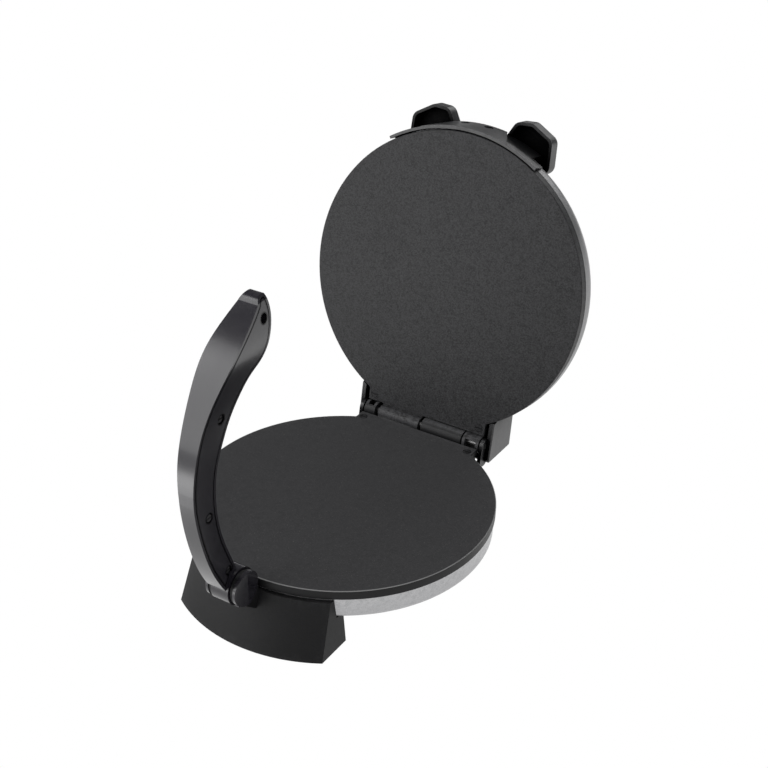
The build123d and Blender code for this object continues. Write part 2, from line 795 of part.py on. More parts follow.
with BuildPart() as front_foot:
    add(front_foot_body(0).part)
    with Locations((0, 0, foot_top)):
        Cylinder(
            housing_radius + foot_band_gap, skirt_top,
            align=(Align.CENTER, Align.CENTER, Align.MIN), mode=Mode.SUBTRACT,
        )
    with BuildSketch(side_plane(-lug_outer_x)):
        with Locations((pivot_y, pivot_z)):
            Circle(lug_radius)
        with Locations((pivot_y + lug_root[0], pivot_z + lug_root[1])):
            Circle(lug_root_radius)
        make_hull()
    extrude(amount=2 * lug_outer_x)
    add(hub_room().part, mode=Mode.SUBTRACT)
    with Locations((0, 0, foot_top)):
        Cylinder(
            housing_radius + foot_band_gap, skirt_top,
            align=(Align.CENTER, Align.CENTER, Align.MIN), mode=Mode.SUBTRACT,
        )
    add(split(front_foot_body(foot_wall).part, Plane.XY.offset(foot_roof), Keep.BOTTOM, mode=Mode.PRIVATE),
        mode=Mode.SUBTRACT)
    foot_bosses(-foot_boss_y)
    foot_bores(-foot_boss_y)
    with BuildSketch(side_plane(-lug_outer_x)):
        with Locations((pivot_y, pivot_z)):
            Circle(pivot_pin_radius + seat_clearance)
    extrude(amount=2 * lug_outer_x, mode=Mode.SUBTRACT)
save(front_foot, "front_foot")


def rear_outline(inset):
    """The rear foot's outline: a piece of a disc with rounded corners, inset all round by a wall."""
    with BuildSketch(Plane.XY.offset(foot_bottom)) as outline:
        Circle(rear_foot_radius - inset)
        Rectangle(2 * (rear_foot_half_width - inset), 2 * rear_foot_radius, mode=Mode.INTERSECT)
        with Locations((0, rear_foot_inner_y + inset)):
            Rectangle(
                2 * rear_foot_radius, 2 * rear_foot_radius,
                align=(Align.CENTER, Align.MAX), mode=Mode.SUBTRACT,
            )
        fillet(outline.vertices(), rear_foot_corner - inset)
    return outline.sketch


def rear_wall(depth):
    """The upright plane across the machine at a depth inside the rear foot's round side."""
    return Plane(origin=(0, rear_foot_radius - depth, gland_z), x_dir=(-1, 0, 0), z_dir=(0, 1, 0))


with BuildPart() as rear_foot:
    extrude(rear_outline(0), amount=foot_top - foot_bottom)
    extrude(rear_outline(foot_wall), amount=foot_roof - foot_bottom, mode=Mode.SUBTRACT)
    foot_bosses(rear_foot_boss_y)
    foot_bores(rear_foot_boss_y)
    with BuildSketch(Plane.XY.offset(foot_roof)):
        with Locations((0, rear_window_y)):
            Rectangle(
                block_length + 2 * block_window_margin, rear_window_depth, align=(Align.CENTER, Align.MIN)
            )
    extrude(amount=foot_wall, mode=Mode.SUBTRACT)
    with BuildSketch(rear_wall(0)):
        Circle(gland_neck_radius + seat_clearance)
    extrude(amount=-2 * foot_wall, mode=Mode.SUBTRACT)
    with BuildSketch(rear_wall(gland_spotface)):
        Circle(gland_flange_radius + shell_clearance)
    extrude(amount=gland_spotface, mode=Mode.SUBTRACT)
save(rear_foot, "rear_foot")

with BuildPart(Plane.XY) as foot_pads:
    with Locations(*foot_screw_places):
        Cylinder(pad_radius, pad_lift, align=(Align.CENTER, Align.CENTER, Align.MIN))
        Cylinder(pad_plug_radius, pad_lift + pad_plug_height, align=(Align.CENTER, Align.CENTER, Align.MIN))
save(foot_pads, "foot_pads")

foot_screws = screw_group(
    Plane.XY.offset(foot_screw_seat), foot_screw_places,
    large_screw_radius, foot_screw_length, large_head_radius, large_head_height,
)
save(foot_screws, "foot_screws")

with BuildPart(Plane.XY.offset(floor_top)) as foot_nuts:
    with Locations(*foot_screw_places):
        Box(nut_width, nut_width, nut_height, align=(Align.CENTER, Align.CENTER, Align.MIN))
        Cylinder(
            large_screw_radius + seat_clearance, nut_height,
            align=(Align.CENTER, Align.CENTER, Align.MIN), mode=Mode.SUBTRACT,
        )
save(foot_nuts, "foot_nuts")


# ---------------------------------------------------------------- base: electrical inlet
block_bottom = housing_bottom - block_height
pole_places = [(index * block_screw_pitch, block_y) for index in (-1, 0, 1)]
wire_z = block_bottom + block_height / 2

with BuildPart() as terminal_block:
    with BuildSketch(Plane.XY.offset(block_bottom)):
        with Locations((0, block_y)):
            Rectangle(block_length, block_width)
    extrude(amount=block_height)
    with BuildSketch(Plane.XY.offset(block_bottom)):
        with Locations(*pole_places):
            Circle(block_screw_radius)
    extrude(amount=block_screw_depth, mode=Mode.SUBTRACT)
save(terminal_block, "terminal_block")

with BuildPart(Plane.XY.offset(block_bottom + block_screw_depth)) as terminal_screws:
    with Locations(*pole_places):
        Cylinder(
            block_screw_radius - seat_clearance, block_screw_depth / 2, align=(Align.CENTER, Align.CENTER, Align.MAX)
        )
        with Locations((0, 0, -block_screw_depth / 2)):
            Box(
                2 * block_screw_radius, slot_width, slot_depth,
                align=(Align.CENTER, Align.CENTER, Align.MIN), mode=Mode.SUBTRACT,
            )
save(terminal_screws, "terminal_screws")

with BuildPart(rear_wall(gland_spotface)) as cord_gland:
    Cylinder(gland_flange_radius, gland_flange, align=(Align.CENTER, Align.CENTER, Align.MIN))
    Cone(gland_neck_radius, gland_tip_radius, gland_tail, align=(Align.CENTER, Align.CENTER, Align.MIN))
    Cylinder(gland_neck_radius, gland_neck_length, align=(Align.CENTER, Align.CENTER, Align.MAX))
    with Locations((0, 0, -gland_neck_length)):
        Cylinder(gland_lip_radius, gland_lip, align=(Align.CENTER, Align.CENTER, Align.MAX))
    Cylinder(gland_bore_radius, 2 * (gland_tail + gland_neck_length + gland_lip), mode=Mode.SUBTRACT)
save(cord_gland, "cord_gland")


def leads(routes):
    """Insulated wires along bent routes, one solid each."""
    with BuildPart() as wires:
        for points in routes:
            with BuildLine() as route:
                FilletPolyline(*points, radius=lead_bend)
            start = Plane(origin=points[0], z_dir=Vector(*points[1]) - Vector(*points[0]))
            with BuildSketch(start) as section:
                Circle(lead_radius)
            sweep(section.sketch, path=route.line)
    return wires


tail_x = element_ring_radius * sin(radians(element_opening / 2))
tail_y = element_ring_radius * cos(radians(element_opening / 2))
tail_depth = element_depth + element_tail
base_lead_z = floor_top + lead_radius + shell_clearance
base_leads = leads([
    [
        (side * tail_x, tail_y, plate_top - tail_depth),
        (side * tail_x, tail_y, base_lead_z),
        (side * block_screw_pitch, lead_hole_y, base_lead_z),
        (side * block_screw_pitch, lead_hole_y, wire_z),
        (side * block_screw_pitch, block_y - block_width / 2, wire_z),
    ]
    for side in (-1, 1)
])
save(base_leads, "base_leads")


# ---------------------------------------------------------------- hinge pin and lever pin
hinge_axis_face = Plane(origin=(0, hinge_y, hinge_z), x_dir=(0, 1, 0), z_dir=(1, 0, 0))
pin_half_length = hood_half_width - hood_cheek - shell_clearance
with BuildPart(hinge_axis_face) as hinge_pin:
    Cylinder(pin_radius, 2 * pin_half_length)
    chamfer(hinge_pin.edges(), pin_chamfer)
save(hinge_pin, "hinge_pin")

pivot_face = Plane(origin=(0, pivot_y, pivot_z), x_dir=(0, 1, 0), z_dir=(1, 0, 0))
pivot_pin_half = lug_outer_x + cap_pin_depth
with BuildPart(pivot_face) as lever_pin:
    Cylinder(pivot_pin_radius, 2 * pivot_pin_half)
save(lever_pin, "lever_pin")


def pivot_cap(side):
    """A round cap whose face rises from front and rear to an upright ridge."""
    with BuildPart() as cap:
        with BuildSketch(Plane.XY.offset(pivot_z - cap_radius)):
            with BuildLine():
                Polyline(
                    (side * lug_outer_x, pivot_y - cap_radius),
                    (side * (lug_outer_x + cap_edge), pivot_y - cap_radius),
                    (side * (lug_outer_x + cap_edge + cap_ridge), pivot_y),
                    (side * (lug_outer_x + cap_edge), pivot_y + cap_radius),
                    (side * lug_outer_x, pivot_y + cap_radius),
                    close=True,
                )
            make_face()
        extrude(amount=2 * cap_radius)
        with BuildSketch(pivot_face):
            Circle(cap_radius)
        extrude(amount=2 * cap_radius, both=True, mode=Mode.INTERSECT)
        with BuildSketch(pivot_face):
            Circle(pivot_pin_radius + seat_clearance)
        extrude(amount=pivot_pin_half, both=True, mode=Mode.SUBTRACT)
    return cap


with BuildPart() as pivot_caps:
    add(pivot_cap(-1).part)
    add(pivot_cap(1).part)
save(pivot_caps, "pivot_caps")


# ---------------------------------------------------------------- lid: plate and heater
lug_bores = [(-band_screw_x, band_screw_z), (band_screw_x, band_screw_z)]
lid_front = Plane(
    origin=lid_face.from_local_coords((0, lug_block_front_y, 0)), x_dir=(1, 0, 0), z_dir=lid_face.y_dir * -1
)

upper_casting = cast_plate(
    lid_face, ((thin_barrel, thin_knuckle), (right_end_knuckle, thick_knuckle)), right_end_knuckle,
    running_clearance, upper_tab_screw_y, 0,
)
with BuildPart() as upper_plate:
    add(upper_casting.part)
    with BuildSketch(lid_front):
        with Locations((0, plate_web)):
            Rectangle(2 * lug_block_half_width, lug_block_top - plate_web, align=(Align.CENTER, Align.MIN))
    extrude(amount=-lug_block_depth)
    with BuildSketch(lid_front):
        with Locations(*lug_bores):
            Circle(large_screw_radius + seat_clearance)
    extrude(amount=-lug_block_depth, mode=Mode.SUBTRACT)
save(upper_plate, "upper_plate")
heater(lid_face, "upper")


# ---------------------------------------------------------------- lid: domed shell
crown_centre_x = dome_radius - dome_shoulder_radius
crown_reach = crown_centre_x / cos(radians(dome_shoulder_turn))
crown_radius = crown_reach + dome_shoulder_radius
crown_centre_y = dome_wall_top - crown_reach * sin(radians(dome_shoulder_turn))


def dome_profile(inset, foot):
    """Half the dome's outline from a point of its wall at height foot to its top, moved in or out."""
    shoulder = dome_shoulder_radius - inset
    crown = crown_radius - inset
    Line((dome_radius - inset, foot), (dome_radius - inset, dome_wall_top))
    CenterArc((crown_centre_x, dome_wall_top), shoulder, 0, dome_shoulder_turn)
    CenterArc((0, crown_centre_y), crown, dome_shoulder_turn, 90 - dome_shoulder_turn)


def dome_block(growth, foot):
    """The solid filled by the dome and everything under it down to a height, grown by a clearance."""
    with BuildPart() as block:
        with BuildSketch(upright(lid_face)) as half:
            with BuildLine() as outline:
                dome_profile(-growth, foot)
                Polyline((0, crown_centre_y + crown_radius + growth), (0, foot), (dome_radius + growth, foot))
            make_face(outline.edges())
        revolve(half.sketch, axis=axis_of(lid_face))
    return block


with BuildPart() as lid_shell:
    add(dome_block(0, plate_rim_height).part)
    add(dome_block(-dome_sheet, plate_rim_height + dome_sheet).part, mode=Mode.SUBTRACT)
    with BuildSketch(lid_face.offset(plate_rim_height)):
        Circle(dome_radius - dome_flange)
    extrude(amount=dome_sheet, mode=Mode.SUBTRACT)
    with BuildSketch(lid_face.offset(plate_rim_height)):
        with Locations((-tab_screw_x, upper_tab_screw_y), (tab_screw_x, upper_tab_screw_y)):
            Circle(hood_boss_radius + shell_clearance)
    extrude(amount=dome_shoulder_radius, mode=Mode.SUBTRACT)
    with BuildSketch(lid_front):
        with Locations(*lug_bores):
            Circle(large_screw_radius + screw_clearance)
    extrude(amount=dome_shoulder_radius, mode=Mode.SUBTRACT)
    with BuildSketch(Plane(lid_face.from_local_coords((0, lamp_y, 0)), lid_front.x_dir, lid_front.z_dir)):
        with Locations((-lamp_x, lead_exit_z), (lamp_x, lead_exit_z)):
            Circle(lead_exit_radius)
    extrude(amount=dome_shoulder_radius, mode=Mode.SUBTRACT)
save(lid_shell, "lid_shell")


# ---------------------------------------------------------------- lid: rear hood
cavity_half = hood_half_width - hood_cheek

with BuildPart() as hood_blank:
    with BuildSketch(sideways(lid_face, -hood_half_width, hinge_y)):
        with BuildLine():
            Polyline(
                (hood_foot_y, 0), (hood_front_y, hood_front_z), (hood_brow_y, hood_brow_z),
                (hood_top_y, hood_top_z), (hood_corner_y, hood_corner_z), (hood_rear_y, hood_rear_z),
                (hood_rear_y - hood_rear_z, 0), close=True,
            )
        make_face()
    extrude(amount=2 * hood_half_width)
    chamfer(
        hood_blank.faces().filter_by(Axis.X).edges().filter_by(lambda edge: edge.length > hood_rear_z * 2),
        hood_edge_round,
    )

with BuildPart() as rear_hood:
    add(hood_blank.part)
    with BuildSketch(sideways(lid_face, -cavity_half, hinge_y)):
        with BuildLine():
            Polyline(
                (hood_foot_y + hood_wall, -hood_wall),
                (hood_front_y + hood_wall, hood_front_z - hood_wall / 2),
                (hood_brow_y + hood_wall / 2, hood_brow_z - hood_wall),
                (hood_top_y - hood_wall / 2, hood_top_z - hood_wall),
                (hood_corner_y - hood_wall, hood_corner_z - hood_wall / 2),
                (hood_rear_y - hood_wall, -hood_wall),
                close=True,
            )
        make_face()
    extrude(amount=2 * cavity_half, mode=Mode.SUBTRACT)
    for side in (-1, 1):
        with BuildSketch(sideways(lid_face, side * (tab_half_width + hood_lug_gap))):
            with Locations((hinge_y, pin_axis_depth), (hinge_y + lug_reach, pin_axis_depth)):
                Circle(hood_lug_radius)
            make_hull()
        extrude(amount=side * (cavity_half - tab_half_width - hood_lug_gap))
    add(dome_block(shell_clearance, -plate_gap).part, mode=Mode.SUBTRACT)
    with BuildSketch(lid_face.offset(plate_rim_height)):
        with Locations((-tab_screw_x, upper_tab_screw_y), (tab_screw_x, upper_tab_screw_y)):
            Circle(hood_boss_radius)
    extrude(amount=hood_brow_z - hood_wall / 2 - plate_rim_height)
    with BuildSketch(lid_face.offset(plate_rim_height)):
        with Locations((-tab_screw_x, upper_tab_screw_y), (tab_screw_x, upper_tab_screw_y)):
            Circle(large_screw_radius + seat_clearance)
    extrude(amount=tab_screw_length, mode=Mode.SUBTRACT)
    with BuildSketch(sideways(lid_face, -cavity_half)):
        with Locations((hinge_y, pin_axis_depth)):
            Circle(pin_radius + running_clearance)
    extrude(amount=2 * cavity_half, mode=Mode.SUBTRACT)
    with BuildSketch(lid_face.offset(lamp_z)):
        with Locations((-lamp_x, lamp_y), (lamp_x, lamp_y)):
            Circle(lens_radius + seat_clearance)
    extrude(amount=2 * hood_wall, mode=Mode.SUBTRACT)
    with BuildSketch(Plane.XY.offset(stop_rib_bottom)):
        with Locations((0, housing_radius + lid_stop_gap)):
            Rectangle(2 * stop_rib_half_width, stop_rib_depth, align=(Align.CENTER, Align.MIN))
    extrude(amount=stop_rib_height)
save(rear_hood, "rear_hood")

lamp_plane = lid_face.offset(lamp_z)
with BuildPart(lamp_plane) as lamp_lenses:
    with Locations((-lamp_x, lamp_y), (lamp_x, lamp_y)):
        Cylinder(lens_radius, hood_wall + lens_proud, align=(Align.CENTER, Align.CENTER, Align.MIN))
        Cylinder(lens_radius + lens_flange, lens_flange, align=(Align.CENTER, Align.CENTER, Align.MAX))
    fillet(lamp_lenses.faces().sort_by(axis_of(lid_face))[-1].edges(), lens_round)
save(lamp_lenses, "lamp_lenses")

with BuildPart(lamp_plane) as pilot_lamps:
    with Locations((-lamp_x, lamp_y, -lens_flange), (lamp_x, lamp_y, -lens_flange)):
        Cylinder(lamp_radius, lamp_height, align=(Align.CENTER, Align.CENTER, Align.MAX))
save(pilot_lamps, "pilot_lamps")

lid_leads = leads([
    [
        lid_face.from_local_coords(point) for point in (
            (side * tail_x, tail_y, tail_depth),
            (side * tail_x, tail_y, lead_exit_z),
            (side * lamp_x, lead_inner_y, lead_exit_z),
            (side * lamp_x, lamp_y, lead_exit_z),
            (side * lamp_x, lamp_y, lamp_z - lens_flange - lamp_height),
        )
    ]
    for side in (-1, 1)
])
save(lid_leads, "lid_leads")

upper_tab_screws = screw_group(
    lid_face.offset(large_head_height), [(-tab_screw_x, upper_tab_screw_y), (tab_screw_x, upper_tab_screw_y)],
    large_screw_radius, tab_screw_length, large_head_radius, large_head_height,
)
save(upper_tab_screws, "upper_tab_screws")


# ---------------------------------------------------------------- lid: front band with its two ears
def band_sector(inner, outer, low, high, half_angle):
    """A piece of a ring round the lid's axis, centred on the front, in the open block."""
    start = radians(-90 - half_angle)
    outward = lid_face.x_dir * cos(start) + lid_face.y_dir * sin(start)
    section_plane = Plane(origin=lid_face.origin, x_dir=outward, z_dir=outward.cross(lid_face.z_dir))
    with BuildSketch(section_plane) as section:
        with Locations((inner, low)):
            Rectangle(outer - inner, high - low, align=(Align.MIN, Align.MIN))
    revolve(section.sketch, axis=axis_of(lid_face), revolution_arc=2 * half_angle)


def ear_outline(side, inset):
    """One ear seen along the lid's axis, inset all round by its wall."""
    with BuildSketch(lid_face.offset(band_height)) as outline:
        with BuildLine() as edge:
            Polyline(*[(side * x, y - band_radius) for x, y in ear_corners], close=True)
        made = make_face(edge.edges())
        fillet(made.vertices(), ear_corner_round)
        if inset:
            offset(amount=-inset, mode=Mode.REPLACE)
    return outline.sketch


with BuildPart() as boss_zone:
    with BuildSketch(Plane(lid_face.origin, lid_front.x_dir, lid_front.z_dir)):
        with BuildLine():
            Polyline(
                (-boss_bottom_half_width, 0), (boss_bottom_half_width, 0),
                (boss_top_half_width, band_height), (-boss_top_half_width, band_height), close=True,
            )
        make_face()
    extrude(amount=2 * band_radius)

with BuildPart() as centre_boss:
    band_sector(band_recess_radius - band_wall, band_radius, 0, band_height, band_half_angle)
    add(boss_zone.part, mode=Mode.INTERSECT)

with BuildPart() as ear_band:
    band_sector(band_recess_radius - band_wall, band_recess_radius, 0, band_height, band_ear_angle)
    band_sector(band_recess_radius - band_wall, band_lip_outer, 0, band_lip_height, band_half_angle)
    band_sector(band_recess_radius - band_wall, band_recess_radius, 0, band_tail_height, band_half_angle)
    band_sector(
        deck_inner_radius, band_recess_radius, band_height - deck_thickness, band_height, band_ear_angle
    )
    add(centre_boss.part)
    with BuildSketch(lid_front):
        with Locations(*lug_bores):
            Circle(hood_boss_radius)
    extrude(amount=band_radius - hood_wall + lug_block_front_y)
    for side in (-1, 1):
        extrude(ear_outline(side, 0), amount=ear_top - band_height)
        extrude(ear_outline(side, ear_wall), amount=ear_top - ear_wall - band_height, mode=Mode.SUBTRACT)
    add(dome_block(shell_clearance, plate_rim_height - shell_clearance).part, mode=Mode.SUBTRACT)
    with BuildSketch(lid_face):
        Circle(band_lip_inner)
    extrude(amount=plate_rim_height, mode=Mode.SUBTRACT)
    with BuildSketch(Plane(lid_face.from_local_coords((0, -band_radius, 0)), lid_front.x_dir, lid_front.z_dir)):
        with Locations(*lug_bores):
            Circle(large_head_radius + screw_clearance)
    extrude(amount=-band_screw_recess, mode=Mode.SUBTRACT)
    with BuildSketch(lid_front):
        with Locations(*lug_bores):
            Circle(large_screw_radius + screw_clearance)
    extrude(amount=2 * dome_shoulder_radius, mode=Mode.SUBTRACT)
save(ear_band, "ear_band")

band_screw_seat = Plane(
    lid_face.from_local_coords((0, band_screw_recess - band_radius, 0)), lid_front.x_dir * -1, lid_face.y_dir
)
band_screws = screw_group(
    band_screw_seat, lug_bores, large_screw_radius, band_screw_length, large_head_radius, large_head_height
)
save(band_screws, "band_screws")


# ---------------------------------------------------------------- pressing lever
def lever_side(inset):
    """The arm's side outline, from the hub to the tip, inset all round."""
    with BuildSketch(pivot_face) as outline:
        with BuildLine() as edge:
            Spline(*lever_outer)
            ThreePointArc(lever_outer[-1], lever_tip, lever_inner[-1])
            Spline(*lever_inner)
            Polyline(lever_inner[0], (0, 0), lever_outer[0])
        make_face(edge.edges())
        if inset:
            offset(amount=-inset, mode=Mode.REPLACE)
    return outline.sketch.to_splines() if inset else outline.sketch


def leaf(plane_y, shrink):
    """The arm seen from the front, at one depth."""
    plane = Plane(origin=(0, pivot_y + plane_y, pivot_z), x_dir=(1, 0, 0), z_dir=(0, -1, 0))
    widths = [(max(half - shrink, leaf_least_half), z) for half, z in leaf_widths]
    with BuildSketch(plane) as outline:
        with BuildLine() as edge:
            Spline(*widths)
            Spline(widths[-1], (0, leaf_tip), (-widths[-1][0], widths[-1][1]))
            Spline(*[(-half, z) for half, z in widths])
            Line(widths[0], (-widths[0][0], widths[0][1]))
        make_face(edge.edges())
    return outline.sketch


with BuildPart() as arm_blank:
    loft([leaf(lever_front, 0), leaf(lever_back, lever_draft * (lever_back - lever_front))])
    extrude(lever_side(0), amount=2 * hub_radius, both=True, mode=Mode.INTERSECT)


def side_room(inset, low, high):
    """The arm's side outline from the tip down to an arc round the pivot, inset, between two depths."""
    with BuildPart() as room:
        with Locations((low, 0, 0)):
            add(extrude(lever_side(inset), amount=high - low, mode=Mode.PRIVATE))
        with BuildSketch(pivot_face):
            Circle(cover_hub_radius + inset)
        extrude(amount=2 * hub_radius, both=True, mode=Mode.SUBTRACT)
    return room


def on_side(x, places, radius, length, mode=Mode.ADD):
    """Round bosses or bores along X from the plane at x, at side-view places, in the open block."""
    with BuildSketch(pivot_face.offset(x)) as circles:
        with Locations(*places):
            Circle(radius)
    extrude(circles.sketch, amount=length, mode=mode, clean=False)


with BuildPart() as lever_body:
    add(arm_blank.part)
    with BuildSketch(pivot_face):
        Circle(hub_radius)
    extrude(amount=hub_half_width, both=True)
    with BuildSketch(side_plane(-stop_tooth_half_width)):
        with Locations((stop_face_y - stop_gap, pivot_z - hub_radius - stop_tooth_height)):
            Rectangle(stop_tooth_length, stop_tooth_height + hub_radius / 2, align=(Align.MAX, Align.MIN))
    extrude(amount=2 * stop_tooth_half_width)
    for side in (-1, 1):
        with BuildSketch(side_plane(side * hub_half_width)):
            with Locations((pivot_y, pivot_z)):
                Circle(cap_radius + shell_clearance)
        extrude(amount=side * hub_radius, mode=Mode.SUBTRACT)
    add(side_room(cover_rim, cover_floor_x, 2 * hub_radius).part, mode=Mode.SUBTRACT, clean=False)
    add(side_room(cover_rim + core_inset, core_floor_x, cover_floor_x).part, mode=Mode.SUBTRACT, clean=False)
    on_side(core_floor_x, lever_screw_places, lever_boss_radius, cover_floor_x - core_floor_x)
    on_side(core_floor_x, lever_screw_places, small_screw_radius + seat_clearance, hub_radius, Mode.SUBTRACT)
    with BuildSketch(pivot_face):
        Circle(pivot_pin_radius + bush_wall + seat_clearance)
    extrude(amount=hub_half_width, both=True, mode=Mode.SUBTRACT)
save(lever_body, "lever_body")

with BuildPart() as lever_cover:
    add(side_room(cover_rim + cover_groove, cover_floor_x, 2 * hub_radius).part, clean=False)
    add(arm_blank.part, mode=Mode.INTERSECT, clean=False)
    on_side(cover_floor_x, lever_screw_places, small_screw_radius + screw_clearance, hub_radius, Mode.SUBTRACT)
    on_side(
        cover_floor_x + lever_screw_recess, lever_screw_places, lever_screw_bore, hub_radius, Mode.SUBTRACT
    )
save(lever_cover, "lever_cover")

lever_screws = screw_group(
    Plane(pivot_face.offset(cover_floor_x + lever_screw_recess).origin, x_dir=(0, 1, 0), z_dir=(-1, 0, 0)),
    [(y, -z) for y, z in lever_screw_places],
    small_screw_radius, lever_screw_length, small_head_radius, small_head_height,
)
save(lever_screws, "lever_screws")

with BuildPart(pivot_face) as lever_bush:
    Cylinder(pivot_pin_radius + bush_wall, 2 * hub_half_width)
    Cylinder(pivot_pin_radius + running_clearance, 2 * hub_half_width, mode=Mode.SUBTRACT)
save(lever_bush, "lever_bush")

with BuildPart() as lever_stiffener:
    with BuildSketch(pivot_face.offset(core_floor_x)):
        with BuildLine():
            Spline(*stiffener_line)
        trace(line_width=stiffener_sheet)
    extrude(amount=cover_floor_x - core_floor_x - shell_clearance)
save(lever_stiffener, "lever_stiffener")
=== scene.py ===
"""Looks of the electric flatbread maker: studio, camera and the finishes of every piece."""

import json
import math

import bpy
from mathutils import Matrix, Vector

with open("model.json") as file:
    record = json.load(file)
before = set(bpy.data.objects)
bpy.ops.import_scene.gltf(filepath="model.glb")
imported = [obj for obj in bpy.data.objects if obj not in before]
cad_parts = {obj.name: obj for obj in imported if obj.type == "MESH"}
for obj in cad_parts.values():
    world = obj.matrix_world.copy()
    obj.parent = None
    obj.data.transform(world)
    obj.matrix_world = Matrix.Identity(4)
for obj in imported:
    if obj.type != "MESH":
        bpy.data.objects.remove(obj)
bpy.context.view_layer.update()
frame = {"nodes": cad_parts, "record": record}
nodes = frame["nodes"]
PLATE_RADIUS = 0.127
PLATES_CENTRE = Vector((0.0, -0.0144, 0.0))  # on the floor, under the middle of both plates


# ------------------------------------------------------------------ shared shader effects
def new_group(name, inputs, outputs):
    """An empty shader node group with float, vector or colour sockets."""
    group = bpy.data.node_groups.new(name, "ShaderNodeTree")
    for label, kind, default in inputs:
        socket = group.interface.new_socket(label, in_out="INPUT", socket_type=kind)
        if default is not None:
            socket.default_value = default
    for label, kind in outputs:
        group.interface.new_socket(label, in_out="OUTPUT", socket_type=kind)
    return group, group.nodes.new("NodeGroupInput"), group.nodes.new("NodeGroupOutput")


def maths(tree, operation, first, second=None, third=None, clamp=False):
    """One Math node; each argument is a socket or a number."""
    node = tree.nodes.new("ShaderNodeMath")
    node.operation = operation
    node.use_clamp = clamp
    for socket, value in zip(node.inputs, (first, second, third)):
        if value is None:
            continue
        if isinstance(value, (int, float)):
            socket.default_value = value
        else:
            tree.links.new(value, socket)
    return node.outputs[0]


def scaled(tree, value, factor):
    """A value times a factor; each is a socket or a number."""
    return maths(tree, "MULTIPLY", value, factor)


def ramp(tree, value, low, high, smooth=False):
    """0 under the low value, 1 over the high one and a rise between them, straight or smooth."""
    node = tree.nodes.new("ShaderNodeMapRange")
    node.interpolation_type = "SMOOTHSTEP" if smooth else "LINEAR"
    node.inputs["From Min"].default_value = low
    node.inputs["From Max"].default_value = high
    tree.links.new(value, node.inputs["Value"])
    return node.outputs[0]


def noise(tree, vector, scale, detail=3.0, roughness=0.5):
    """One Noise Texture node's value."""
    node = tree.nodes.new("ShaderNodeTexNoise")
    tree.links.new(vector, node.inputs["Vector"])
    for label, value in (("Scale", scale), ("Detail", detail), ("Roughness", roughness)):
        if isinstance(value, (int, float)):
            node.inputs[label].default_value = value
        else:
            tree.links.new(value, node.inputs[label])
    return node.outputs[0]


def grain_group():
    """Moulded or cast grain, fine and coarse: a height from 0 to 1, and the normal it makes."""
    coarse_scale = 0.13        # of the fine grain's scale
    fine_share, coarse_share = 0.75, 0.25
    group, given, made = new_group(
        "grain",
        [
            ("Vector", "NodeSocketVector", None),
            ("Scale", "NodeSocketFloat", 900.0),
            ("Depth", "NodeSocketFloat", 0.00002),
        ],
        [("Normal", "NodeSocketVector"), ("Height", "NodeSocketFloat")],
    )
    place = given.outputs["Vector"]
    fine = noise(group, place, given.outputs["Scale"], 4.0, 0.6)
    coarse = noise(group, place, scaled(group, given.outputs["Scale"], coarse_scale), 2.0, 0.5)
    height = maths(group, "ADD", scaled(group, fine, fine_share), scaled(group, coarse, coarse_share))
    bump = group.nodes.new("ShaderNodeBump")
    bump.inputs["Strength"].default_value = 1.0
    group.links.new(given.outputs["Depth"], bump.inputs["Distance"])
    group.links.new(height, bump.inputs["Height"])
    group.links.new(bump.outputs[0], made.inputs["Normal"])
    group.links.new(height, made.inputs["Height"])
    return group


def handling_group():
    """Where a surface has been touched and rubbed: worn edges, faint smudges and settled dust."""
    edge_starts, edge_worn = 0.52, 0.62        # in Pointiness, which is 0.5 on a flat face
    wear_scale, wear_gap = 210.0, 0.47
    cloud_scale, streak_scale, streak_share = 17.0, 62.0, 0.4
    clean = 0.5                # clouds and streaks below this leave no smudge
    dust_scale, dust_gap = 1500.0, 0.71
    group, given, made = new_group(
        "handling",
        [
            ("Vector", "NodeSocketVector", None),
            ("Edge", "NodeSocketFloat", 0.5),
            ("Smudge", "NodeSocketFloat", 0.5),
        ],
        [("Worn", "NodeSocketFloat"), ("Smudged", "NodeSocketFloat"), ("Dusty", "NodeSocketFloat")],
    )
    place = given.outputs["Vector"]
    geometry = group.nodes.new("ShaderNodeNewGeometry")
    raised = ramp(group, geometry.outputs["Pointiness"], edge_starts, edge_worn)
    broken = maths(group, "GREATER_THAN", noise(group, place, wear_scale, 5.0, 0.7), wear_gap)
    worn = maths(group, "MULTIPLY", scaled(group, raised, broken), given.outputs["Edge"], clamp=True)
    clouds = noise(group, place, cloud_scale, 3.0, 0.55)
    streaks = scaled(group, noise(group, place, streak_scale, 4.0, 0.6), streak_share)
    patches = maths(group, "SUBTRACT", maths(group, "ADD", clouds, streaks), clean, clamp=True)
    smudged = maths(group, "MULTIPLY", patches, given.outputs["Smudge"], clamp=True)
    facing = group.nodes.new("ShaderNodeSeparateXYZ")
    group.links.new(geometry.outputs["Normal"], facing.inputs[0])
    upward = maths(group, "POWER", maths(group, "MAXIMUM", facing.outputs["Z"], 0.0), 3.0)
    motes = maths(group, "GREATER_THAN", noise(group, place, dust_scale, 2.0, 0.5), dust_gap)
    dusty = maths(group, "MULTIPLY", upward, motes, clamp=True)
    group.links.new(worn, made.inputs["Worn"])
    group.links.new(smudged, made.inputs["Smudged"])
    group.links.new(dusty, made.inputs["Dusty"])
    return group


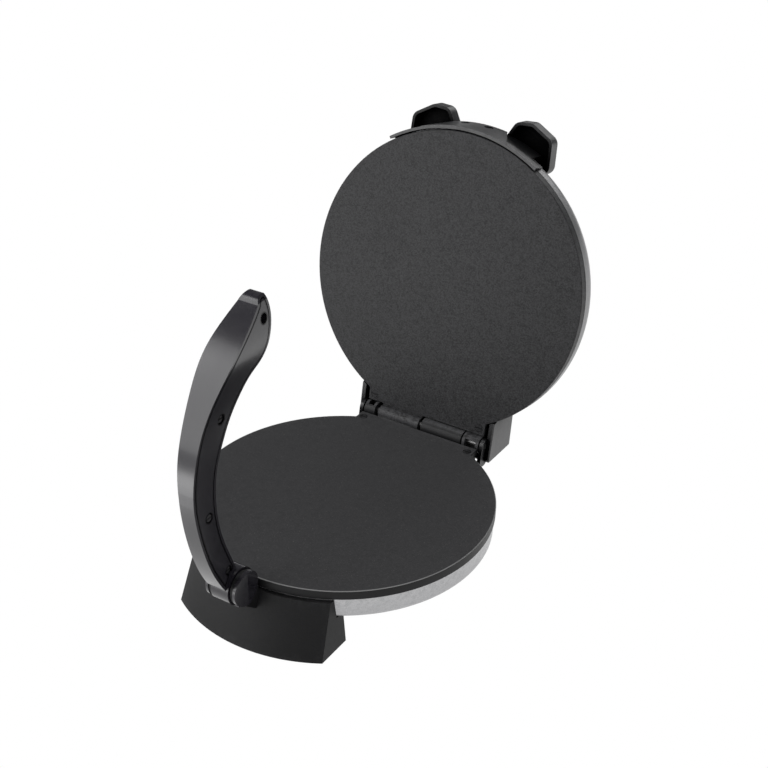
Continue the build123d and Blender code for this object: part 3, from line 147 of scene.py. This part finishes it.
def speckle_group():
    """Tiny flecks of a coating or flake paint, and slow clouds under them: two values from 0 to 1."""
    slow_scale = 9.0
    group, given, made = new_group(
        "speckle",
        [("Vector", "NodeSocketVector", None), ("Scale", "NodeSocketFloat", 1400.0)],
        [("Fleck", "NodeSocketFloat"), ("Cloud", "NodeSocketFloat")],
    )
    cells = group.nodes.new("ShaderNodeTexVoronoi")
    group.links.new(given.outputs["Vector"], cells.inputs["Vector"])
    group.links.new(given.outputs["Scale"], cells.inputs["Scale"])
    tone = group.nodes.new("ShaderNodeSeparateColor")
    group.links.new(cells.outputs["Color"], tone.inputs[0])
    group.links.new(tone.outputs[0], made.inputs["Fleck"])
    group.links.new(noise(group, given.outputs["Vector"], slow_scale, 4.0, 0.6), made.inputs["Cloud"])
    return group


GRAIN = grain_group()
HANDLING = handling_group()
SPECKLE = speckle_group()


def use(tree, group, vector, **values):
    """One instance of a shared effect."""
    node = tree.nodes.new("ShaderNodeGroup")
    node.node_tree = group
    tree.links.new(vector, node.inputs["Vector"])
    for label, value in values.items():
        node.inputs[label].default_value = value
    return node


def blend_colour(tree, factor, low, high):
    """A colour between two; each argument is a socket or a value."""
    node = tree.nodes.new("ShaderNodeMix")
    node.data_type = "RGBA"
    for socket, value in ((node.inputs[0], factor), (node.inputs[6], low), (node.inputs[7], high)):
        if isinstance(value, (int, float)):
            socket.default_value = value
        elif isinstance(value, tuple):
            socket.default_value = (*value, 1.0)
        else:
            tree.links.new(value, socket)
    return node.outputs[2]


def lighter(colour, factor, lift):
    """A colour made lighter by a factor and a lift, at most white."""
    return tuple(min(1.0, channel * factor + lift) for channel in colour)


DUST = (0.45, 0.43, 0.4)
DUST_SHARE = 0.2
CLOUD_SHARE = 0.22
CLOUD_DARKNESS = 0.72      # a cloud's colour, as a share of the piece's
SMUDGE_ROUGHNESS = 0.22
RECESS_SHADE_SHARE = 0.15     # the colour of the painted shade deep in a recess, as a share of the piece's
RECESS_POWER = 5.0         # how quickly the painted recess shade deepens with what covers it
LAMP_GLOW = 0.15


def finish(
    name, colour, fleck_colour=None, fleck=0.1, fleck_scale=1400.0, rough=0.4, rough_spread=0.1,
    metallic=0.0, grain_scale=900.0, grain_depth=0.00002, worn_colour=None, edge=0.4, smudge=0.4,
    coat=0.0, coat_rough=0.1, specular=0.5, transmission=0.0, glow=None, recess=0.0,
):
    """A procedural material: flecks and clouds in the colour, grain, wear, smudges and dust, and painted
    shade in recesses where asked.

    recess is the distance in metres within which other surfaces paint shade on this one, darkening its
    colour and weakening its specular; 0 for none."""
    material = bpy.data.materials.new(name)
    material.use_nodes = True
    tree = material.node_tree
    shader = tree.nodes["Principled BSDF"]
    place = tree.nodes.new("ShaderNodeTexCoord").outputs["Object"]
    speckle = use(tree, SPECKLE, place, Scale=fleck_scale)
    handling = use(tree, HANDLING, place, Edge=edge, Smudge=smudge)
    grain = use(tree, GRAIN, place, Scale=grain_scale, Depth=grain_depth)
    fleck_colour = fleck_colour or lighter(colour, 3.0, 0.05)
    worn_colour = worn_colour or lighter(colour, 1.8, 0.03)
    flecked = blend_colour(tree, scaled(tree, speckle.outputs["Fleck"], fleck), colour, fleck_colour)
    cloud_colour = tuple(channel * CLOUD_DARKNESS for channel in colour)
    clouded = blend_colour(tree, scaled(tree, speckle.outputs["Cloud"], CLOUD_SHARE), flecked, cloud_colour)
    worn = blend_colour(tree, handling.outputs["Worn"], clouded, worn_colour)
    dusty = blend_colour(tree, scaled(tree, handling.outputs["Dusty"], DUST_SHARE), worn, DUST)
    tree.links.new(dusty, shader.inputs["Base Color"])
    unevenness = scaled(tree, maths(tree, "SUBTRACT", grain.outputs["Height"], 0.5), rough_spread)
    roughness = maths(tree, "ADD", rough, unevenness)
    smudges = scaled(tree, handling.outputs["Smudged"], SMUDGE_ROUGHNESS)
    roughness = maths(tree, "ADD", roughness, smudges, clamp=True)
    tree.links.new(roughness, shader.inputs["Roughness"])
    tree.links.new(grain.outputs["Normal"], shader.inputs["Normal"])
    shader.inputs["Metallic"].default_value = metallic
    shader.inputs["Specular IOR Level"].default_value = specular
    # painted shade: within the reach, ambient occlusion darkens the colour and weakens the specular
    if recess:
        shade = tree.nodes.new("ShaderNodeAmbientOcclusion")
        shade.samples = 8
        shade.inputs["Distance"].default_value = recess
        open_share = maths(tree, "POWER", shade.outputs["AO"], RECESS_POWER)
        tree.links.new(scaled(tree, open_share, specular), shader.inputs["Specular IOR Level"])
        painted_shade_colour = tuple(channel * RECESS_SHADE_SHARE for channel in colour)
        recess_painted_shade = blend_colour(tree, open_share, painted_shade_colour, dusty)
        tree.links.new(recess_painted_shade, shader.inputs["Base Color"])
    shader.inputs["Coat Weight"].default_value = coat
    shader.inputs["Coat Roughness"].default_value = coat_rough
    shader.inputs["Transmission Weight"].default_value = transmission
    if glow:
        shader.inputs["Emission Color"].default_value = (*glow, 1.0)
        shader.inputs["Emission Strength"].default_value = LAMP_GLOW
    return material


RIM_LINE_WIDTH = 0.0007
RIM_LINE_REAR = 0.105      # the hinge lies farther back than this from the plate's centre: no line there
GROOVE_WIDTH = 0.0028
GROOVE_PAINTED_SHADE = (0.002, 0.002, 0.002)


def upward_share(tree, low, high):
    """How far a face looks up: 0 under the low slope, 1 over the high one."""
    facing = tree.nodes.new("ShaderNodeSeparateXYZ")
    tree.links.new(tree.nodes.new("ShaderNodeNewGeometry").outputs["True Normal"], facing.inputs[0])
    return ramp(tree, facing.outputs["Z"], low, high, smooth=True)


def side_shade_and_rim_line(material, shaded_side_colour, line_colour):
    """Gives the level lower plate painted shade on its side faces, a darker colour where they don't look
    up, and a thin pale line along its upper edge, except at the rear.
    """
    tree = material.node_tree
    base = tree.nodes["Principled BSDF"].inputs["Base Color"]
    # painted shade: faces that look sideways take the darker side colour
    side_shaded = blend_colour(tree, upward_share(tree, 0.75, 0.95), shaded_side_colour, base.links[0].from_socket)
    place = tree.nodes.new("ShaderNodeSeparateXYZ")
    tree.links.new(tree.nodes.new("ShaderNodeTexCoord").outputs["Object"], place.inputs[0])
    rearward = maths(tree, "SUBTRACT", place.outputs["Y"], PLATES_CENTRE.y)
    level = tree.nodes.new("ShaderNodeCombineXYZ")
    tree.links.new(place.outputs["X"], level.inputs["X"])
    tree.links.new(rearward, level.inputs["Y"])
    distance = tree.nodes.new("ShaderNodeVectorMath")
    distance.operation = "LENGTH"
    tree.links.new(level.outputs[0], distance.inputs[0])
    line_radius = PLATE_RADIUS - RIM_LINE_WIDTH / 2
    outermost = maths(tree, "COMPARE", distance.outputs["Value"], line_radius, RIM_LINE_WIDTH / 2)
    line = scaled(tree, outermost, upward_share(tree, 0.2, 0.4))
    line = scaled(tree, line, maths(tree, "LESS_THAN", rearward, RIM_LINE_REAR))
    tree.links.new(blend_colour(tree, line, side_shaded, line_colour), base)
    return material


def groove_shaded(material):
    """Paints shade on a piece close to its own outline, where it sinks into a joint line: a near-black
    colour and no specular or coat there.

    Near an edge the Bevel node's normal turns away from the face's own, so their product falls there."""
    tree = material.node_tree
    shader = tree.nodes["Principled BSDF"]
    rounded = tree.nodes.new("ShaderNodeBevel")
    rounded.samples = 6
    rounded.inputs["Radius"].default_value = GROOVE_WIDTH
    likeness = tree.nodes.new("ShaderNodeVectorMath")
    likeness.operation = "DOT_PRODUCT"
    tree.links.new(rounded.outputs[0], likeness.inputs[0])
    tree.links.new(tree.nodes.new("ShaderNodeNewGeometry").outputs["True Normal"], likeness.inputs[1])
    flat = ramp(tree, likeness.outputs["Value"], 0.90, 0.995)
    base = shader.inputs["Base Color"]
    # painted shade: a near-black colour and no specular or coat along the outline
    tree.links.new(blend_colour(tree, flat, GROOVE_PAINTED_SHADE, base.links[0].from_socket), base)
    for label in ("Specular IOR Level", "Coat Weight"):
        full = shader.inputs[label].default_value
        tree.links.new(scaled(tree, flat, full), shader.inputs[label])
    return material


LEVER_BLACK = dict(
    colour=(0.010, 0.009, 0.013), fleck=0.03, rough=0.22, rough_spread=0.05, grain_scale=160.0,
    grain_depth=0.00002, edge=0.2, smudge=0.3, coat=0.25, coat_rough=0.12,
)

FINISHES = {
    "nonstick_casting": finish(
        "nonstick", (0.009, 0.009, 0.0095), (0.070, 0.070, 0.073), fleck=0.45, fleck_scale=1100.0,
        rough=0.42, rough_spread=0.35, grain_scale=1100.0, grain_depth=0.00006, edge=0.25, smudge=0.4,
        worn_colour=(0.10, 0.10, 0.105), specular=0.2,
    ),
    "silver_paint": finish(
        "silver", (0.36, 0.36, 0.37), (0.66, 0.66, 0.66), fleck=0.5, fleck_scale=2600.0, rough=0.36,
        rough_spread=0.12, metallic=0.72, grain_scale=1500.0, grain_depth=0.00002, edge=0.3, smudge=0.25,
        worn_colour=(0.72, 0.72, 0.72),
    ),
    "black_foot": finish(
        "foot_black", (0.004, 0.004, 0.0045), fleck=0.05, rough=0.5, rough_spread=0.25, grain_scale=1500.0,
        grain_depth=0.00005, edge=0.3, smudge=0.2, specular=0.22,
    ),
    "black_gloss": finish("lever_black", **LEVER_BLACK),
    "black_satin": finish(
        "lid_black", (0.010, 0.010, 0.011), fleck=0.05, rough=0.34, rough_spread=0.15, grain_scale=900.0,
        grain_depth=0.00003, edge=0.4, smudge=0.35, specular=0.62, recess=0.03,
    ),
    "black_rubber": finish(
        "rubber", (0.018, 0.018, 0.018), fleck=0.1, rough=0.8, grain_scale=700.0, grain_depth=0.00006,
        smudge=0.2, specular=0.3,
    ),
    "element_sheath": finish(
        "element", (0.22, 0.18, 0.16), (0.35, 0.27, 0.30), fleck=0.6, fleck_scale=300.0, rough=0.42,
        metallic=0.9, grain_scale=500.0, grain_depth=0.00003,
    ),
    "zinc_steel": finish(
        "zinc", (0.52, 0.52, 0.50), (0.75, 0.76, 0.72), fleck=0.45, fleck_scale=900.0, rough=0.32,
        metallic=1.0, grain_scale=700.0, grain_depth=0.00002,
    ),
    "pin_steel": finish(
        "pin", (0.16, 0.16, 0.16), fleck=0.2, rough=0.42, metallic=0.9, grain_scale=400.0,
        grain_depth=0.00001,
    ),
    "bright_aluminium": finish(
        "bright_sheet", (0.78, 0.78, 0.78), fleck=0.2, rough=0.2, metallic=1.0, grain_scale=300.0,
        grain_depth=0.00002,
    ),
    "ceramic_white": finish(
        "ceramic", (0.74, 0.71, 0.64), fleck=0.2, rough=0.62, grain_scale=800.0, grain_depth=0.00004,
    ),
    "white_plastic": finish(
        "pale_plastic", (0.72, 0.70, 0.63), fleck=0.1, rough=0.45, grain_scale=900.0, grain_depth=0.00002,
    ),
    "brass_screws": finish(
        "brass", (0.66, 0.47, 0.18), fleck=0.2, rough=0.27, metallic=1.0, grain_scale=600.0,
        grain_depth=0.00001,
    ),
    "lead_sleeve": finish(
        "sleeve", (0.70, 0.66, 0.58), (0.45, 0.42, 0.36), fleck=0.8, fleck_scale=1900.0, rough=0.85,
        grain_scale=2200.0, grain_depth=0.0001,
    ),
    "dark_screws": finish(
        "dark_steel", (0.008, 0.008, 0.009), fleck=0.1, rough=0.5, metallic=0.2, grain_scale=600.0,
        grain_depth=0.00001, specular=0.25,
    ),
    "lamp_lens": finish(
        "lens", (0.50, 0.03, 0.015), fleck=0.05, rough=0.12, grain_scale=300.0, grain_depth=0.00001,
        transmission=0.35, glow=(0.6, 0.03, 0.01),
    ),
    "lamp_glass": finish(
        "lamp_tube", (0.90, 0.74, 0.58), fleck=0.05, rough=0.06, grain_scale=300.0, grain_depth=0.00001,
        transmission=0.6,
    ),
}

# pieces whose finish differs a little from that of their slot
OWN_FINISHES = {
    # the lower plate's coating is the lid plate's, made lighter as a painted sheen
    "lower_plate": side_shade_and_rim_line(
        finish(
            "lower_nonstick_painted_sheen", (0.030, 0.030, 0.031), (0.066, 0.066, 0.068), fleck=0.35, fleck_scale=1300.0,
            rough=0.42, rough_spread=0.3, grain_scale=1100.0, grain_depth=0.00003, edge=0.25, smudge=0.4,
            worn_colour=(0.10, 0.10, 0.105), specular=0.2,
        ),
        shaded_side_colour=(0.009, 0.009, 0.0095), line_colour=(0.20, 0.20, 0.20),
    ),
    "lid_shell": finish(
        "lid_silver", (0.21, 0.21, 0.215), (0.42, 0.42, 0.42), fleck=0.5, fleck_scale=2600.0, rough=0.36,
        rough_spread=0.12, metallic=0.72, grain_scale=1500.0, grain_depth=0.00002, edge=0.0, smudge=0.25,
    ),
    "lever_cover": groove_shaded(finish("cover_black", **LEVER_BLACK)),
}

SLOT_OF = {row["node"]: row["material_slot"] for row in frame["record"]["subparts"]}
for node_name, node in nodes.items():
    for material_slot in node.material_slots:
        material_slot.material = OWN_FINISHES.get(node_name) or FINISHES[SLOT_OF[node_name]]


# ------------------------------------------------------------------ studio
def studio_floor():
    """A wide level sheet, white to the eye and grey to the light.

    A glossy surface sees it as a sheet that glows, with a brighter band in front of the part."""
    reach = 6.0
    grey = 0.5
    toward = (-0.55, -0.83)            # the way from the floor's middle to the band
    band_starts, band_full = 0.24, 0.62
    band_fades, band_ends = 0.68, 0.95
    glow, band_glow = 1.1, 3.9
    mesh = bpy.data.meshes.new("floor")
    corners = [(-reach, -reach, 0), (reach, -reach, 0), (reach, reach, 0), (-reach, reach, 0)]
    mesh.from_pydata(corners, [], [(0, 1, 2, 3)])
    floor = bpy.data.objects.new("floor", mesh)
    bpy.context.scene.collection.objects.link(floor)
    material = bpy.data.materials.new("paper")
    material.use_nodes = True
    tree = material.node_tree
    shader = tree.nodes["Principled BSDF"]
    shader.inputs["Base Color"].default_value = (grey, grey, grey, 1.0)
    shader.inputs["Roughness"].default_value = 0.9
    white = tree.nodes.new("ShaderNodeEmission")
    mirrored = tree.nodes.new("ShaderNodeEmission")
    spot = tree.nodes.new("ShaderNodeSeparateXYZ")
    tree.links.new(tree.nodes.new("ShaderNodeTexCoord").outputs["Object"], spot.inputs[0])
    sideways = scaled(tree, spot.outputs["X"], toward[0])
    ahead = maths(tree, "ADD", sideways, scaled(tree, spot.outputs["Y"], toward[1]))
    risen = ramp(tree, ahead, band_starts, band_full, smooth=True)
    fallen = ramp(tree, ahead, band_fades, band_ends, smooth=True)
    band = scaled(tree, risen, maths(tree, "SUBTRACT", 1.0, fallen))
    tree.links.new(maths(tree, "MULTIPLY_ADD", band, band_glow, glow), mirrored.inputs["Strength"])
    seen = tree.nodes.new("ShaderNodeLightPath")
    lit = tree.nodes.new("ShaderNodeMixShader")
    mix = tree.nodes.new("ShaderNodeMixShader")
    tree.links.new(seen.outputs["Is Glossy Ray"], lit.inputs[0])
    tree.links.new(shader.outputs[0], lit.inputs[1])
    tree.links.new(mirrored.outputs[0], lit.inputs[2])
    tree.links.new(seen.outputs["Is Camera Ray"], mix.inputs[0])
    tree.links.new(lit.outputs[0], mix.inputs[1])
    tree.links.new(white.outputs[0], mix.inputs[2])
    tree.links.new(mix.outputs[0], tree.nodes["Material Output"].inputs["Surface"])
    mesh.materials.append(material)


def lamp(name, place, target, size, power):
    """A white rectangular lamp at a place, facing a target; both are measured from PLATES_CENTRE."""
    data = bpy.data.lights.new(name, "AREA")
    data.shape = "RECTANGLE"
    data.size, data.size_y = size
    data.energy = power
    item = bpy.data.objects.new(name, data)
    item.location = Vector(place) + PLATES_CENTRE
    aim = Vector(target) - Vector(place)
    item.rotation_euler = aim.to_track_quat("-Z", "Y").to_euler()
    item.visible_camera = False
    bpy.context.scene.collection.objects.link(item)


def surroundings():
    """White to the eye, soft grey to everything else."""
    world = bpy.data.worlds.new("studio")
    bpy.context.scene.world = world
    world.use_nodes = True
    tree = world.node_tree
    dim = tree.nodes["Background"]
    dim.inputs["Color"].default_value = (0.80, 0.80, 0.82, 1.0)
    dim.inputs["Strength"].default_value = 0.16
    bright = tree.nodes.new("ShaderNodeBackground")
    bright.inputs["Color"].default_value = (1.0, 1.0, 1.0, 1.0)
    seen = tree.nodes.new("ShaderNodeLightPath")
    mix = tree.nodes.new("ShaderNodeMixShader")
    tree.links.new(seen.outputs["Is Camera Ray"], mix.inputs[0])
    tree.links.new(dim.outputs[0], mix.inputs[1])
    tree.links.new(bright.outputs[0], mix.inputs[2])
    tree.links.new(mix.outputs[0], tree.nodes["World Output"].inputs["Surface"])


studio_floor()
surroundings()
lamp("front", (-1.3, -1.8, 1.25), (0, 0, 0.16), (2.2, 2.5), 48.0)
lamp("near", (-0.75, -0.45, 0.75), (-0.08, 0.10, 0.20), (0.3, 0.3), 2.6)
lamp("top", (0.05, 0.28, 1.7), (0, 0, 0.05), (0.9, 0.5), 11.0)
lamp("side", (1.7, -0.9, 0.8), (0, 0, 0.12), (0.9, 1.3), 8.0)
lamp("back", (0.3, 1.6, 1.2), (0, 0, 0.15), (1.4, 0.7), 9.0)


def view_camera(azimuth, elevation, distance, aim_height, lens, shift):
    """A camera at angles in degrees round a point over the plates' centre; azimuth 0 is from the front."""
    data = bpy.data.cameras.new("camera")
    data.sensor_width = 36.0
    data.lens = lens
    data.shift_x, data.shift_y = shift
    camera = bpy.data.objects.new("camera", data)
    around, up = math.radians(azimuth), math.radians(elevation)
    toward = Vector((math.sin(around) * math.cos(up), -math.cos(around) * math.cos(up), math.sin(up)))
    camera.location = PLATES_CENTRE + Vector((0.0, 0.0, aim_height)) + toward * distance
    camera.rotation_euler = (-toward).to_track_quat("-Z", "Y").to_euler()
    bpy.context.scene.collection.objects.link(camera)
    bpy.context.scene.camera = camera


view_camera(
    azimuth=33.7, elevation=34.6, distance=1.067, aim_height=0.055, lens=60.5, shift=(0.0547, 0.1445),
)
bpy.context.scene.view_settings.view_transform = "Standard"
